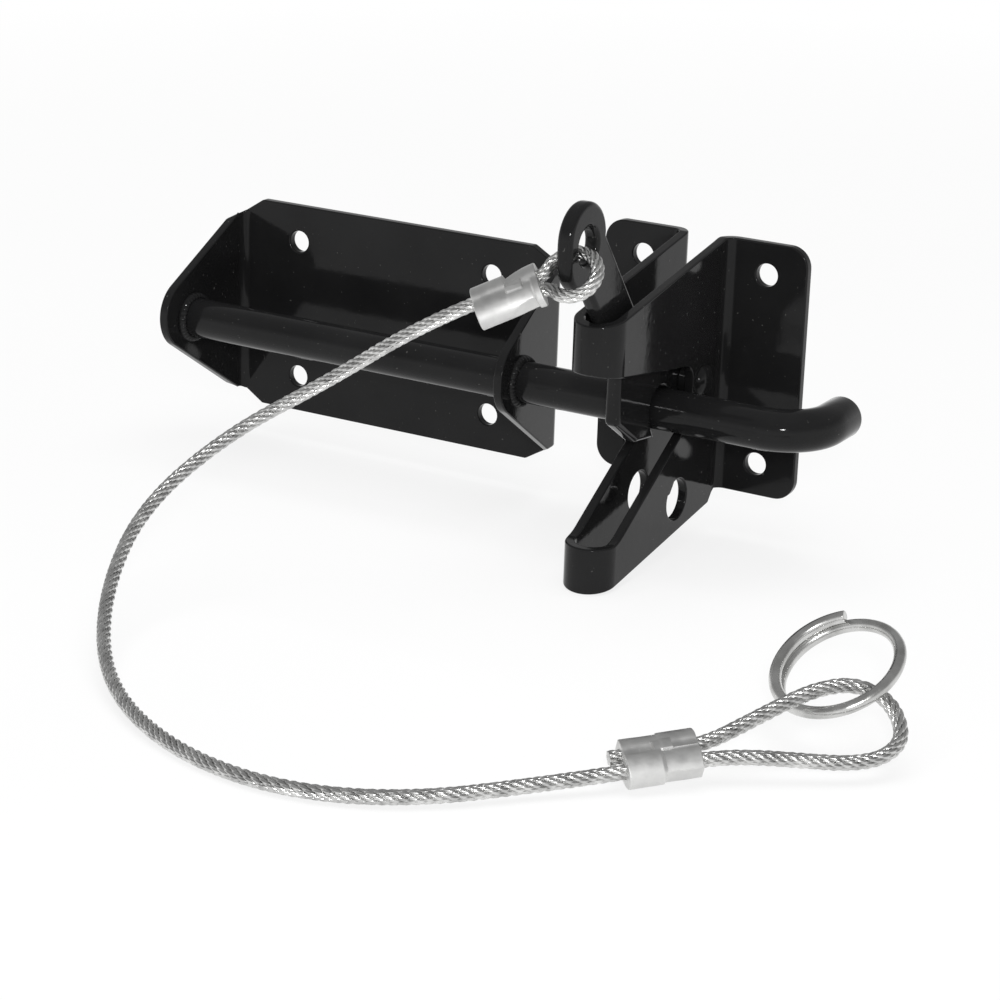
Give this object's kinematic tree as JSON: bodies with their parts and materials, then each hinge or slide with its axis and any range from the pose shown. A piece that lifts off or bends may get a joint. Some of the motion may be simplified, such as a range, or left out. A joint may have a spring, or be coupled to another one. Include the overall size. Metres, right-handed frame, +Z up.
{
  "type": "gravity_latch",
  "caption": "Gate gravity latch: folded post catch whose pivoting lever drops in front of a hooked strike bar on a gate bracket, released by a crimped wire pull cable with a split ring",
  "frame": {"origin": "centre of the catch's four screw holes, on the plane of its back", "axes": "+X along the strike bar towards its hooked end, +Y into the post, +Z up"},
  "size_m": [0.3043, 0.2401, 0.1172],
  "materials": {
    "black_powder_coat": "semi-gloss black powder coat over mild steel",
    "galvanized_wire_rope": "stranded galvanized wire rope",
    "crimped_aluminium": "pressed aluminium sleeve with die marks",
    "bright_plated_steel": "bright nickel-plated wire"
  },
  "bodies": {
    "catch": {"catch_body": "black_powder_coat", "pivot_rivet": "black_powder_coat", "left_spacer": "black_powder_coat", "right_spacer": "black_powder_coat", "gate_bracket": "black_powder_coat", "strike_bar": "black_powder_coat", "pull_cable": "galvanized_wire_rope", "lower_ferrule": "crimped_aluminium", "cable_ring_loop": "galvanized_wire_rope", "cable_end": "galvanized_wire_rope", "pull_ring": "bright_plated_steel"},
    "lever": {"latch_lever": "black_powder_coat", "cable_eye_loop": "galvanized_wire_rope", "upper_ferrule": "crimped_aluminium"}
  },
  "joints": [
    {"name": "lever_pivot", "type": "hinge", "parent": "catch", "child": "lever", "pos_m": [0, -0.0155, -0.0023], "axis": [-1, 0, 0], "range_deg": [0, 40], "deforming": ["pull_cable"]}
  ]
}
